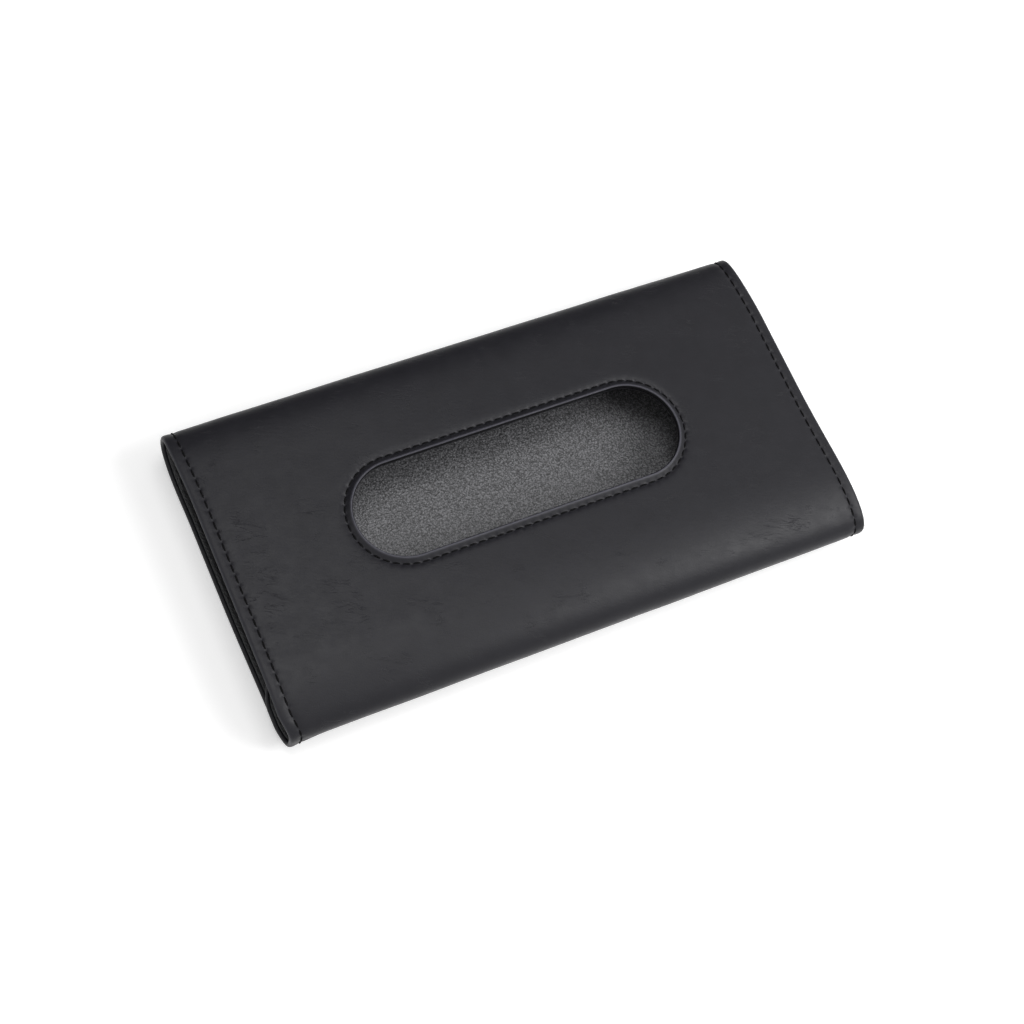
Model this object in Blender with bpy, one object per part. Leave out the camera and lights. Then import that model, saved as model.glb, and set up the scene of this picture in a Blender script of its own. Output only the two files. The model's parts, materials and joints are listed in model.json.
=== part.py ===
"""Tissue holder for a car's sun visor: a flat wallet of leather-cloth that opens like a book.

Frame: +X along the holder, +Y from the near fold to the far fold, +Z from the back up to the slotted
front. The origin is under the middle of the holder, on the surface that it lies on. Lengths are metres.

Every layer is cut flat, as on a cutting table, and then folded round the holder's section. A flat blank
has three directions: x along the holder, s round the section from the hinge line at the far fold, and
n out of the leather, so n is 0 on the leather's outer face and negative in the layers under it.
"""
import math

import bmesh
import bpy
import numpy as np
from mathutils import Vector

# overall sizes, with the straps and the front's crown
LENGTH = 0.230
WIDTH = 0.120
THICKNESS = 0.025
FRONT_CROWN = 0.0012

# section: each fold is a quarter of a superellipse above and below the line where it is widest
FOLD_DROP = 0.0112
NEAR_FOLD_REACH = 0.0294
FAR_FOLD_REACH = 0.0235
FRONT_FULLNESS = 2.3
LIP_FOLD_REACH = 0.009
LIP_FULLNESS = 2.3
BACK_FOLD_REACH = 0.024
BACK_FULLNESS = 1.9
LIP_DEPTH = 0.022
FREE_EDGE_INSET = 0.008
FREE_CORNER_RADIUS = 0.012
LIP_CORNER_RADIUS = 0.006

# layers, from the outside in, and the gap between neighbours
LEATHER = 0.0009
BOARD = 0.0012
LINING = 0.0006
SEAT_GAP = 0.0003
HINGE_GAP = 0.0003
EDGE_ROUND = 0.0005

# stiffener boards: how far they stay from the stitched ends and from the outside of the folds
END_HEM = 0.0055
BOARD_FOLD_INSET = 0.014
BOARD_CORNER_RADIUS = 0.003

# slot in the front, and the strip that lines its edge
SLOT_LENGTH = 0.127
SLOT_WIDTH = 0.036
SLOT_X = -0.001
SLOT_Y = 0.003
FACING = 0.0008
FACING_FLANGE = 0.0065

# closing magnets in the lip, the steel keepers under them in the back, and their place from each end
MAGNET_DIAMETER = 0.010
KEEPER_DIAMETER = 0.012
MAGNET_END_INSET = 0.029

# elastic straps round the visor: their slits' places from the ends, the free edge and the far fold
STRAP_WIDTH = 0.025
STRAP_THICKNESS = 0.001
STRAP_END_INSET = 0.057
STRAP_EDGE_INSET = 0.006
STRAP_FOLD_INSET = 0.018
STRAP_TAIL = 0.009
STRAP_BEND = 0.0006

# fineness of the folded faces
TURN_STEP = math.radians(9)
SLOT_ARC_STEPS = 14
DISC_STEPS = 24
CORNER_STEPS = 5
BEND_STEPS = 2
CROWN_STEPS = 8
PATH_SAMPLES = 400
OVERRUN = 0.002
FLAT_SHARE = 0.9
SNAP = 0.000003

# depths of the layers and heights of the section, worked out from the sizes above
BOARD_TOP = -LEATHER - SEAT_GAP
BOARD_UNDER = BOARD_TOP - BOARD
LINING_TOP = BOARD_UNDER - SEAT_GAP
LINING_UNDER = LINING_TOP - LINING
BACK_Z = STRAP_THICKNESS + SEAT_GAP
LIP_Z = BACK_Z - LINING_UNDER + SEAT_GAP
TOP_Z = THICKNESS - FRONT_CROWN
FOLD_Z = THICKNESS - FOLD_DROP
HINGE = Vector((0, WIDTH / 2, FOLD_Z))
HALF = LENGTH / 2


class Section:
    """The outer line of a body's section, measured from the hinge line, with its outward normals."""

    def __init__(self, runs, outward):
        points = np.concatenate(runs)
        keep = np.append(True, np.hypot(*np.diff(points, axis=0).T) > 0)
        self.y, self.z = points[keep].T
        steps = np.hypot(np.diff(self.y), np.diff(self.z))
        self.s = np.append(0, np.cumsum(steps))
        along_y, along_z = np.gradient(self.y, self.s), np.gradient(self.z, self.s)
        size = np.hypot(along_y, along_z)
        self.normal_y, self.normal_z = outward * along_z / size, -outward * along_y / size
        self.angle = np.unwrap(np.arctan2(along_z, along_y))
        self.rise = np.clip((self.z - FOLD_Z) / (TOP_Z - FOLD_Z), 0, 1)
        self.end = self.s[-1]
        ends = [np.hypot(self.y - run[-1][0], self.z - run[-1][1]).argmin() for run in runs[:-1]]
        starts = [np.hypot(self.y - run[0][0], self.z - run[0][1]).argmin() for run in runs[1:]]
        self.joins = [float(self.s[i]) for i in {*ends, *starts} if self.s[i] < self.end]

    def read(self, values, s):
        return float(np.interp(s, self.s, values))

    def place(self, x, s, n):
        """The point of the holder that a point of the flat blank is folded to."""
        y, z = self.read(self.y, s), self.read(self.z, s)
        out = Vector((self.read(self.normal_y, s), self.read(self.normal_z, s))).normalized()
        crown = FRONT_CROWN * self.read(self.rise, s) * (1 - (x / HALF) ** 2)
        return Vector((x, y + n * out.x, z + n * out.y + crown))

    def at_y(self, y):
        """The blank's s where the section first passes y on its way from the far fold to the near one."""
        widest = np.argmin(self.y)
        return float(np.interp(-y, -self.y[:widest + 1], self.s[:widest + 1]))

    def bend_lines(self):
        """The places along s where a curve meets a flat, and where the blank has turned one more step."""
        turned = np.append(0, np.cumsum(np.abs(np.diff(self.angle))))
        count = max(1, round(turned[-1] / TURN_STEP))
        wanted = np.linspace(0, turned[-1], count + 1)[1:-1]
        return sorted({*self.joins, *(float(s) for s in np.interp(wanted, turned, self.s))})


def fold_quarter(centre_y, centre_z, reach, height, fullness, start, stop):
    """Points of a superellipse round a centre, from one angle to another, in quarter turns."""
    turns = np.linspace(start, stop, PATH_SAMPLES) * math.pi / 2
    across, up = np.cos(turns), np.sin(turns)
    y = centre_y + reach * np.sign(across) * np.abs(across) ** (2 / fullness)
    z = centre_z + height * np.sign(up) * np.abs(up) ** (2 / fullness)
    return np.column_stack([y, z])


def cover_section():
    far_y, near_y = WIDTH / 2 - FAR_FOLD_REACH, NEAR_FOLD_REACH - WIDTH / 2
    height = TOP_Z - FOLD_Z
    lip_y = LIP_FOLD_REACH - WIDTH / 2
    lip_end = np.array([[lip_y + LIP_DEPTH, LIP_Z]])
    return Section([
        fold_quarter(far_y, FOLD_Z, FAR_FOLD_REACH, height, FRONT_FULLNESS, 0, 1),
        fold_quarter(near_y, FOLD_Z, NEAR_FOLD_REACH, height, FRONT_FULLNESS, 1, 2),
        fold_quarter(lip_y, FOLD_Z, LIP_FOLD_REACH, FOLD_Z - LIP_Z, LIP_FULLNESS, 2, 3),
        lip_end,
    ], 1)


def back_section():
    far_y = WIDTH / 2 - BACK_FOLD_REACH
    free_edge = np.array([[FREE_EDGE_INSET - WIDTH / 2, BACK_Z]])
    return Section([
        fold_quarter(far_y, FOLD_Z, BACK_FOLD_REACH, FOLD_Z - BACK_Z, BACK_FULLNESS, 0, -1),
        free_edge,
    ], -1)


def arc(x, s, radius, start, stop, steps):
    angles = np.linspace(start, stop, steps + 1)
    return [(x + radius * math.cos(a), s + radius * math.sin(a)) for a in angles]


def panel_outline(half, start, stop, radius, start_radius=0):
    """A rectangle along the holder, with its two corners at stop rounded, and those at start if asked."""
    corners = [
        (-half, start, 1, 1, start_radius, 2),
        (half, start, -1, 1, start_radius, 3),
        (half, stop, -1, -1, radius, 0),
        (-half, stop, 1, -1, radius, 1),
    ]
    points = []
    for x, s, to_x, to_s, size, quarter in corners:
        if size:
            turn = quarter * math.pi / 2
            points += arc(x + to_x * size, s + to_s * size, size, turn, turn + math.pi / 2, CORNER_STEPS)
        else:
            points.append((x, s))
    return points


def rectangle(x, s, width, depth):
    return [
        (x + i * width / 2, s + j * depth / 2)
        for i, j in ((-1, -1), (1, -1), (1, 1), (-1, 1))
    ]


def slot_outline(s, grow):
    radius = SLOT_WIDTH / 2 + grow
    straight = (SLOT_LENGTH - SLOT_WIDTH) / 2
    quarter = math.pi / 2
    right = arc(SLOT_X + straight, s, radius, -quarter, quarter, SLOT_ARC_STEPS)
    left = arc(SLOT_X - straight, s, radius, quarter, 3 * quarter, SLOT_ARC_STEPS)
    return right + left


def disc_outline(x, s, diameter):
    return arc(x, s, diameter / 2, 0, 2 * math.pi, DISC_STEPS)[:-1]


def loft(loops, capped):
    """A closed solid between loops of equally many points: end to end with caps, or round in a ring."""
    bm = bmesh.new()
    rows = [[bm.verts.new(p) for p in loop] for loop in loops]
    count = len(rows[0])
    pairs = list(zip(rows, rows[1:])) if capped else list(zip(rows, rows[1:] + rows[:1]))
    for low, high in pairs:
        for i in range(count):
            j = (i + 1) % count
            bm.faces.new((low[i], low[j], high[j], high[i]))
    if capped:
        bm.faces.new(rows[0][::-1])
        bm.faces.new(rows[-1])
    bmesh.ops.recalc_face_normals(bm, faces=bm.faces)
    return bm


def slab(outline, under, top):
    return loft([[(x, s, n) for x, s in outline] for n in (under, top)], True)


def scene_object(name, bm):
    mesh = bpy.data.meshes.new(name)
    bm.to_mesh(mesh)
    bm.free()
    obj = bpy.data.objects.new(name, mesh)
    bpy.context.scene.collection.objects.link(obj)
    return obj


def carve(blank, cutters):
    """The flat blank with every cutter taken out of it."""
    body = scene_object("blank", blank)
    tools = [scene_object("cutter", cutter) for cutter in cutters]
    for tool in tools:
        cut = body.modifiers.new("cut", "BOOLEAN")
        cut.operation = "DIFFERENCE"
        cut.solver = "EXACT"
        cut.object = tool
    bpy.context.view_layer.update()
    evaluated = body.evaluated_get(bpy.context.evaluated_depsgraph_get())
    carved = bmesh.new()
    carved.from_mesh(evaluated.to_mesh())
    for obj in [body, *tools]:
        mesh = obj.data
        bpy.data.objects.remove(obj)
        bpy.data.meshes.remove(mesh)
    return carved


def round_edges(bm, hinge_s):
    """Rounds the leather's turned edges: where its outer face meets a wall, except at the hinge line."""
    turned = []
    for edge in bm.edges:
        inboard = min(v.co.y for v in edge.verts) > hinge_s + EDGE_ROUND
        outside = min(v.co.z for v in edge.verts) > -EDGE_ROUND
        upright, flat = sorted(abs(face.normal.z) for face in edge.link_faces)
        if inboard and outside and upright < 1 - FLAT_SHARE and flat > FLAT_SHARE:
            turned.append(edge)
    bmesh.ops.bevel(bm, geom=turned, offset=EDGE_ROUND, segments=BEND_STEPS, profile=0.5, affect="EDGES")


def score(bm, places, direction):
    """Splits the blank's faces along lines, so that they can bend there."""
    for place in places:
        geometry = bm.verts[:] + bm.edges[:] + bm.faces[:]
        point = direction * place
        bmesh.ops.bisect_plane(bm, geom=geometry, dist=SNAP, plane_co=point, plane_no=direction)


def material(name, colour, roughness, metallic=0):
    made = bpy.data.materials.new(name)
    made.use_nodes = True
    shader = made.node_tree.nodes["Principled BSDF"]
    shader.inputs["Base Color"].default_value = (*colour, 1)
    shader.inputs["Roughness"].default_value = roughness
    shader.inputs["Metallic"].default_value = metallic
    return made


def folded(name, bm, section, look, parent=None):
    """Folds a flat blank round its section and makes it the named object."""
    score(bm, section.bend_lines(), Vector((0, 1, 0)))
    crown_lines = np.linspace(-HALF, HALF, CROWN_STEPS + 1)[1:-1]
    score(bm, crown_lines, Vector((1, 0, 0)))
    bmesh.ops.triangulate(bm, faces=bm.faces)
    base = parent.location if parent else Vector()
    for vertex in bm.verts:
        vertex.co = section.place(*vertex.co) - base
    if bm.calc_volume(signed=True) < 0:
        bmesh.ops.reverse_faces(bm, faces=bm.faces)
    obj = scene_object(name, bm)
    obj.data.materials.append(look)
    obj.data.shade_smooth()
    obj.data.set_sharp_from_angle(angle=math.radians(35))
    obj.parent = parent
    return obj


def turned_blank(section, corner_radius):
    """A leather blank with its edges turned down over the layers under it, open at the hinge line."""
    start, stop = HINGE_GAP / 2, section.end
    outer = slab(panel_outline(HALF, start, stop, corner_radius), LINING_UNDER, 0)
    hollow = panel_outline(HALF - LEATHER, start - OVERRUN, stop - LEATHER, corner_radius - LEATHER)
    return carve(outer, [slab(hollow, LINING_UNDER - OVERRUN, -LEATHER)])


def slot_cutter(section, grow):
    return slab(slot_outline(section.at_y(SLOT_Y), grow), LINING_UNDER - OVERRUN, OVERRUN)


def front_leather(section, look, hinge):
    blank = carve(turned_blank(section, LIP_CORNER_RADIUS), [slot_cutter(section, 0)])
    round_edges(blank, HINGE_GAP / 2)
    return folded("front_leather", blank, section, look, hinge)


def lining_blank(section, corner_radius):
    inset = LEATHER + SEAT_GAP
    outline = panel_outline(HALF - inset, HINGE_GAP / 2, section.end - inset, corner_radius - inset)
    return slab(outline, LINING_UNDER, LINING_TOP)


def front_lining(section, look, hinge):
    blank = carve(lining_blank(section, LIP_CORNER_RADIUS), [slot_cutter(section, FACING + SEAT_GAP)])
    return folded("front_lining", blank, section, look, hinge)


def slot_facing(section, look, hinge):
    """An L-shaped strip round the slot: a wall that hides the board's edge, and a flange inside."""
    seat = LINING_UNDER - SEAT_GAP
    profile = [
        (0, BOARD_TOP),
        (FACING, BOARD_TOP),
        (FACING, seat),
        (FACING_FLANGE, seat),
        (FACING_FLANGE, seat - FACING),
        (0, seat - FACING),
    ]
    slot_s = section.at_y(SLOT_Y)
    loops = [[(x, s, depth) for x, s in slot_outline(slot_s, grow)] for grow, depth in profile]
    return folded("slot_facing", loft(loops, False), section, look, hinge)


def core_blank(start, stop, start_radius, stop_radius):
    """A board or foam strip between two places along the section, at the boards' depth."""
    outline = panel_outline(HALF - END_HEM, start, stop, stop_radius, start_radius)
    return slab(outline, BOARD_UNDER, BOARD_TOP)


def core_places(cover, back):
    """Where the boards and foam strips start and stop along the two sections."""
    edge_y = WIDTH / 2 - BOARD_FOLD_INSET
    return {
        "front": (cover.at_y(edge_y), cover.at_y(-edge_y)),
        "lip": (cover.end - LIP_DEPTH, cover.end - LEATHER - SEAT_GAP),
        "back": (back.at_y(edge_y), back.end - LEATHER - SEAT_GAP),
    }


def front_board(section, places, look, hinge):
    blank = core_blank(*places["front"], BOARD_CORNER_RADIUS, BOARD_CORNER_RADIUS)
    blank = carve(blank, [slot_cutter(section, FACING + SEAT_GAP)])
    return folded("front_board", blank, section, look, hinge)


def foam_strip(name, section, start, stop, look, parent=None):
    blank = core_blank(start, stop, BOARD_CORNER_RADIUS, BOARD_CORNER_RADIUS)
    return folded(name, blank, section, look, parent)


def magnet_centres(magnet_s):
    return [(side * (HALF - MAGNET_END_INSET), magnet_s) for side in (-1, 1)]


def disc_cutter(x, s, diameter):
    return slab(disc_outline(x, s, diameter + 2 * SEAT_GAP), BOARD_UNDER - OVERRUN, BOARD_TOP + OVERRUN)


def discs(name, section, centres, diameter, look, parent=None):
    for side, (x, s) in zip(("left", "right"), centres):
        blank = slab(disc_outline(x, s, diameter), BOARD_UNDER, BOARD_TOP)
        folded(f"{name}_{side}", blank, section, look, parent)


def lip_board(section, places, centres, look, hinge):
    blank = core_blank(*places["lip"], BOARD_CORNER_RADIUS, BOARD_CORNER_RADIUS)
    blank = carve(blank, [disc_cutter(x, s, MAGNET_DIAMETER) for x, s in centres])
    return folded("lip_board", blank, section, look, hinge)


def strap_centres():
    return [side * (HALF - STRAP_END_INSET) for side in (-1, 1)]


def strap_ends(section):
    """The s of each slit, and which way the strap's tail turns back from it."""
    far_s, near_s = section.at_y(WIDTH / 2 - STRAP_FOLD_INSET), section.end - STRAP_EDGE_INSET
    return [(far_s, 1), (near_s, -1)]


def back_leather(section, look):
    slit_width = STRAP_THICKNESS + 2 * SEAT_GAP
    slits = [
        slab(rectangle(x, s, STRAP_WIDTH + 2 * SEAT_GAP, slit_width), LINING_UNDER - OVERRUN, OVERRUN)
        for x in strap_centres()
        for s, _ in strap_ends(section)
    ]
    blank = turned_blank(section, FREE_CORNER_RADIUS)
    round_edges(blank, HINGE_GAP / 2)
    return folded("back_leather", carve(blank, slits), section, look)


def back_board(section, places, keeper_centres, look):
    """The back's stiffener, with a window for each strap's tail and a hole for each keeper."""
    depth = STRAP_TAIL + STRAP_THICKNESS + 2 * SEAT_GAP
    windows = [
        slab(
            rectangle(x, s + turn * (STRAP_TAIL / 2), STRAP_WIDTH + 2 * SEAT_GAP, depth),
            BOARD_UNDER - OVERRUN,
            BOARD_TOP + OVERRUN,
        )
        for x in strap_centres()
        for s, turn in strap_ends(section)
    ]
    holes = [disc_cutter(x, s, KEEPER_DIAMETER) for x, s in keeper_centres]
    blank = core_blank(*places["back"], BOARD_CORNER_RADIUS, FREE_CORNER_RADIUS - LEATHER - SEAT_GAP)
    return folded("back_board", carve(blank, windows + holes), section, look)


def thick_line(points, thickness):
    """The outline of a band along a line of (s, n) points, mitred where the line turns."""
    line = [Vector(p) for p in points]
    sides = ([], [])
    for i, point in enumerate(line):
        before = (point - line[i - 1]).normalized() if i else None
        after = (line[i + 1] - point).normalized() if i + 1 < len(line) else None
        before, after = before or after, after or before
        along = (before + after).normalized()
        across = Vector((-along.y, along.x)) * (thickness / 2 / along.dot(after))
        sides[0].append(point + across)
        sides[1].append(point - across)
    return sides[0] + sides[1][::-1]


def strap(name, section, x, look):
    """An elastic strap over the back, with each end through its slit and sewn in the board's window."""
    outside, inside = SEAT_GAP + STRAP_THICKNESS / 2, BOARD_TOP - STRAP_THICKNESS / 2
    (far_s, far_turn), (near_s, near_turn) = strap_ends(section)
    line = [
        (far_s + far_turn * STRAP_TAIL, inside),
        (far_s + far_turn * STRAP_BEND, inside),
        (far_s, inside + STRAP_BEND),
        (far_s, outside - STRAP_BEND),
        (far_s + far_turn * STRAP_BEND, outside),
        (near_s + near_turn * STRAP_BEND, outside),
        (near_s, outside - STRAP_BEND),
        (near_s, inside + STRAP_BEND),
        (near_s + near_turn * STRAP_BEND, inside),
        (near_s + near_turn * STRAP_TAIL, inside),
    ]
    outline = thick_line(line, STRAP_THICKNESS)
    loops = [[(x + side * STRAP_WIDTH / 2, p.x, p.y) for p in outline] for side in (-1, 1)]
    return folded(name, loft(loops, True), section, look)


def clear_scene():
    for obj in list(bpy.data.objects):
        bpy.data.objects.remove(obj)


def hinge_empty():
    empty = bpy.data.objects.new("cover_hinge", None)
    empty.location = HINGE
    bpy.context.scene.collection.objects.link(empty)
    return empty


def build():
    clear_scene()
    leather = material("black_leather_cloth", (0.026, 0.026, 0.028), 0.48)
    lining = material("grained_lining", (0.055, 0.055, 0.058), 0.42)
    board = material("grey_board", (0.20, 0.19, 0.175), 0.9)
    foam = material("dark_foam", (0.05, 0.05, 0.05), 0.95)
    steel = material("nickel_steel", (0.56, 0.56, 0.57), 0.3, 1)
    elastic = material("black_elastic", (0.016, 0.016, 0.017), 0.85)

    cover, back = cover_section(), back_section()
    hinge = hinge_empty()
    places = core_places(cover, back)

    front_leather(cover, leather, hinge)
    slot_facing(cover, leather, hinge)
    front_board(cover, places, board, hinge)
    (far_s, near_s), (lip_s, _), (back_s, _) = places["front"], places["lip"], places["back"]
    foam_strip("far_fold_foam_upper", cover, HINGE_GAP / 2, far_s - SEAT_GAP, foam, hinge)
    foam_strip("near_fold_foam", cover, near_s + SEAT_GAP, lip_s - SEAT_GAP, foam, hinge)
    magnet_s = sum(places["lip"]) / 2
    magnets = magnet_centres(magnet_s)
    lip_board(cover, places, magnets, board, hinge)
    discs("lip_magnet", cover, magnets, MAGNET_DIAMETER, steel, hinge)
    front_lining(cover, lining, hinge)

    back_leather(back, leather)
    magnet_y = cover.read(cover.y, magnet_s)
    keepers = magnet_centres(back.at_y(magnet_y))
    back_board(back, places, keepers, board)
    discs("keeper", back, keepers, KEEPER_DIAMETER, steel)
    foam_strip("far_fold_foam_lower", back, HINGE_GAP / 2, back_s - SEAT_GAP, foam)
    folded("back_lining", lining_blank(back, FREE_CORNER_RADIUS), back, lining)
    for side, x in zip(("left", "right"), strap_centres()):
        strap(f"strap_{side}", back, x, elastic)


build()
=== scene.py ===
"""Looks of the car tissue holder: skins, linings, seams, straps, materials, light and camera.

Each layer is drawn flat, as it is cut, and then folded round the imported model's section. A flat point has
x along the holder, s round the section from the hinge line (positive over the cover, negative over the
back) and n out of the leather's outer face, so the layers under it have a negative n. Lengths are metres.
"""
import json
import math

import bmesh
import bpy
import numpy as np
from mathutils import Matrix, Vector, kdtree, noise
from mathutils.geometry import delaunay_2d_cdt


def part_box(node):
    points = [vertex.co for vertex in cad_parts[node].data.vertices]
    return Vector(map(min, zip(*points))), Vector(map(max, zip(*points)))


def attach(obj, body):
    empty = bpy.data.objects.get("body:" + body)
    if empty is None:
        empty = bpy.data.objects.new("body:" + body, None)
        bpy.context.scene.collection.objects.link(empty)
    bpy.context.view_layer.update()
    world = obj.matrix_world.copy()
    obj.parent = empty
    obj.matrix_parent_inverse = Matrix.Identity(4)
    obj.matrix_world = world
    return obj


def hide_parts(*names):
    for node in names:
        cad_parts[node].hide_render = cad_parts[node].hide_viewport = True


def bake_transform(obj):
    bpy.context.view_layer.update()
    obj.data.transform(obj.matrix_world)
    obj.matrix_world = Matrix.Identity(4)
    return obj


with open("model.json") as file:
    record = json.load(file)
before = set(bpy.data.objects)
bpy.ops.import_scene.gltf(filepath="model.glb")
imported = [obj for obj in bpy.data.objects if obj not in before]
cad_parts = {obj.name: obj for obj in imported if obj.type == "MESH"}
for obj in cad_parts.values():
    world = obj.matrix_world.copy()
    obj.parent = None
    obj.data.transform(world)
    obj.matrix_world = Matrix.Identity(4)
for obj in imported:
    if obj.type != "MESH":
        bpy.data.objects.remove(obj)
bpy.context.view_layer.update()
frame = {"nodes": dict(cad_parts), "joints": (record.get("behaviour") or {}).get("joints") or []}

MM = 0.001

# the section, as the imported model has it
COVER_LOW, COVER_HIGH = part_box("front_leather")
BACK_LOW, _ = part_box("back_leather")
HINGE = Vector(frame["joints"][0]["pos_m"])
HALF = COVER_HIGH.x
FRONT_CROWN = 1.2 * MM
TOP_Z = COVER_HIGH.z - FRONT_CROWN
FAR_FOLD_REACH = 23.5 * MM
NEAR_FOLD_REACH = 29.4 * MM
FAR_FULLNESS, NEAR_FULLNESS = 3.5, 2.3
LIP_FOLD_REACH = 9 * MM
LIP_FULLNESS = 2.3
BACK_FOLD_REACH = 24 * MM
BACK_FULLNESS = 1.9
LIP_DEPTH = 22 * MM
FREE_CORNER = 5 * MM
LIP_CORNER = 6 * MM
SECTION_STEP = 0.05 * MM
SECTION_SMOOTHING = 1.2 * MM
SMOOTHING_WIDTHS = 3
FOLD_POINTS = 400

# where the far fold's bending pieces start and end, and how far from the hinge line they bend
COVER_SEAM_Y, BACK_SEAM_Y = 33 * MM, 46 * MM

# layers
LEATHER = 0.9 * MM
BOARD_TOP = -1.2 * MM
BOARD_UNDER = -2.4 * MM
BOARD_FOLD_INSET = 14 * MM
BOARD_CORNER = 3 * MM
LINING_OUTER = -2.7 * MM
LINING_AT_HEM = -1.75 * MM
LINING = 0.6 * MM
LINING_EDGE = 0.2 * MM
LINING_ROUND_SLOT = 2 * MM
HEM = 4.2 * MM
HEM_THICKNESS = 2.2 * MM
HEM_BAND = 8 * MM
END_HEM = 5.5 * MM
TURNED_LOW, TURNED_HIGH = 0.9 * MM, 2.6 * MM
LINING_INSET, LINING_FREE_INSET = 1.5 * MM, 0.8 * MM
SEAT_GAP = 0.3 * MM

# slot
FLANGE = 6.5 * MM
SLOT_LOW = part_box("slot_facing")[0] + Vector((FLANGE, FLANGE, 0))
SLOT_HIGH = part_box("slot_facing")[1] - Vector((FLANGE, FLANGE, 0))
SLOT_RADIUS = (SLOT_HIGH.y - SLOT_LOW.y) / 2
SLOT_STRAIGHT = (SLOT_HIGH.x - SLOT_LOW.x) / 2 - SLOT_RADIUS
SLOT_X = (SLOT_HIGH.x + SLOT_LOW.x) / 2
SLOT_Y = (SLOT_HIGH.y + SLOT_LOW.y) / 2
SLOT_BEAD, SLOT_BEAD_FADE = 0.6 * MM, 2.4 * MM
SLIT_BEAD = LEATHER / 3
RING = 2.9 * MM
RING_BAND = 7 * MM

# the facing's section: how far beyond the slot's edge and how far out, in mm, from its top round and back
FACING_LINE = [
    (0.35, -1.75), (0.45, -2.6), (0.85, -3.4), (1.5, -3.95), (2.6, -4.2), (6.2, -4.3), (6.5, -4.1),
    (6.2, -3.75), (2.3, -3.7), (1.6, -3.3), (1.05, -2.6), (1.0, -1.75),
]
FACING_UNDER = min(n for _, n in FACING_LINE) * MM

# seams
HEM_PITCH = 4.2 * MM
RING_PITCH = 3.6 * MM
TAIL_PITCH = 3 * MM
THREAD = 0.72 * MM
THREAD_LIFT = 0.12 * MM
THREAD_SINK = 0.6 * MM
THREAD_RINGS, THREAD_SIDES, THREAD_SHORT = 7, 6, 0.13
THREAD_ARCH, THREAD_THIN = 0.6, 0.7
RING_UNDER = RING + 1 * MM
TINY, FAR_AWAY = 1e-9, 1

# straps
STRAP_LOW, STRAP_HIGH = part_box("strap_right")
STRAP_X = (STRAP_LOW.x + STRAP_HIGH.x) / 2
STRAP_WIDTH = STRAP_HIGH.x - STRAP_LOW.x
STRAP = 1 * MM
STRAP_TAIL = 9 * MM
STRAP_BEND, STRAP_BEND_STEPS, STRAP_STEP = 0.9 * MM, 6, 1 * MM
STRAP_FOLD_Y = 42 * MM
STRAP_EDGE_INSET = 6 * MM
STRAP_RIBS, STRAP_RIB_POINTS, STRAP_EDGE_POINTS = 13, 6, 7
STRAP_RIB = 0.07 * MM
TAIL_BOX_NEAR, TAIL_BOX_FAR, TAIL_BOX_SIDE = 2.2 * MM, 1.2 * MM, 1.8 * MM


def smooth_step(value, low, high):
    t = np.clip((value - low) / (high - low), 0, 1)
    return t * t * (3 - 2 * t)


def bell(value, width):
    return np.exp(-(value / width) ** 2)


def spread(low, high, step):
    return np.linspace(low, high, max(2, round((high - low) / step) + 1))


def grid(xs, ss):
    return np.column_stack([axis.ravel() for axis in np.meshgrid(xs, ss)])


def fold_quarter(centre_y, reach, height, fullness, start, stop):
    """Points of a superellipse round a centre at the hinge's height, between two angles in quarter turns."""
    turns = np.linspace(start, stop, FOLD_POINTS) * math.pi / 2
    across, up = np.cos(turns), np.sin(turns)
    y = centre_y + reach * np.sign(across) * np.abs(across) ** (2 / fullness)
    z = HINGE.z + height * np.sign(up) * np.abs(up) ** (2 / fullness)
    return np.column_stack([y, z])


def section_points():
    """The outer line from the back's free edge, round the far fold, over the top and into the lip."""
    near_y, far_y = COVER_LOW.y, COVER_HIGH.y
    top, back, lip = TOP_Z - HINGE.z, HINGE.z - BACK_LOW.z, HINGE.z - COVER_LOW.z
    return np.concatenate([
        [[BACK_LOW.y, BACK_LOW.z]],
        fold_quarter(far_y - BACK_FOLD_REACH, BACK_FOLD_REACH, back, BACK_FULLNESS, -1, 0)[:-1],
        fold_quarter(far_y - FAR_FOLD_REACH, FAR_FOLD_REACH, top, FAR_FULLNESS, 0, 1),
        fold_quarter(near_y + NEAR_FOLD_REACH, NEAR_FOLD_REACH, top, NEAR_FULLNESS, 1, 2)[:-1],
        fold_quarter(near_y + LIP_FOLD_REACH, LIP_FOLD_REACH, lip, LIP_FULLNESS, 2, 3),
        [[near_y + LIP_FOLD_REACH + LIP_DEPTH, COVER_LOW.z]],
    ])


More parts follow.
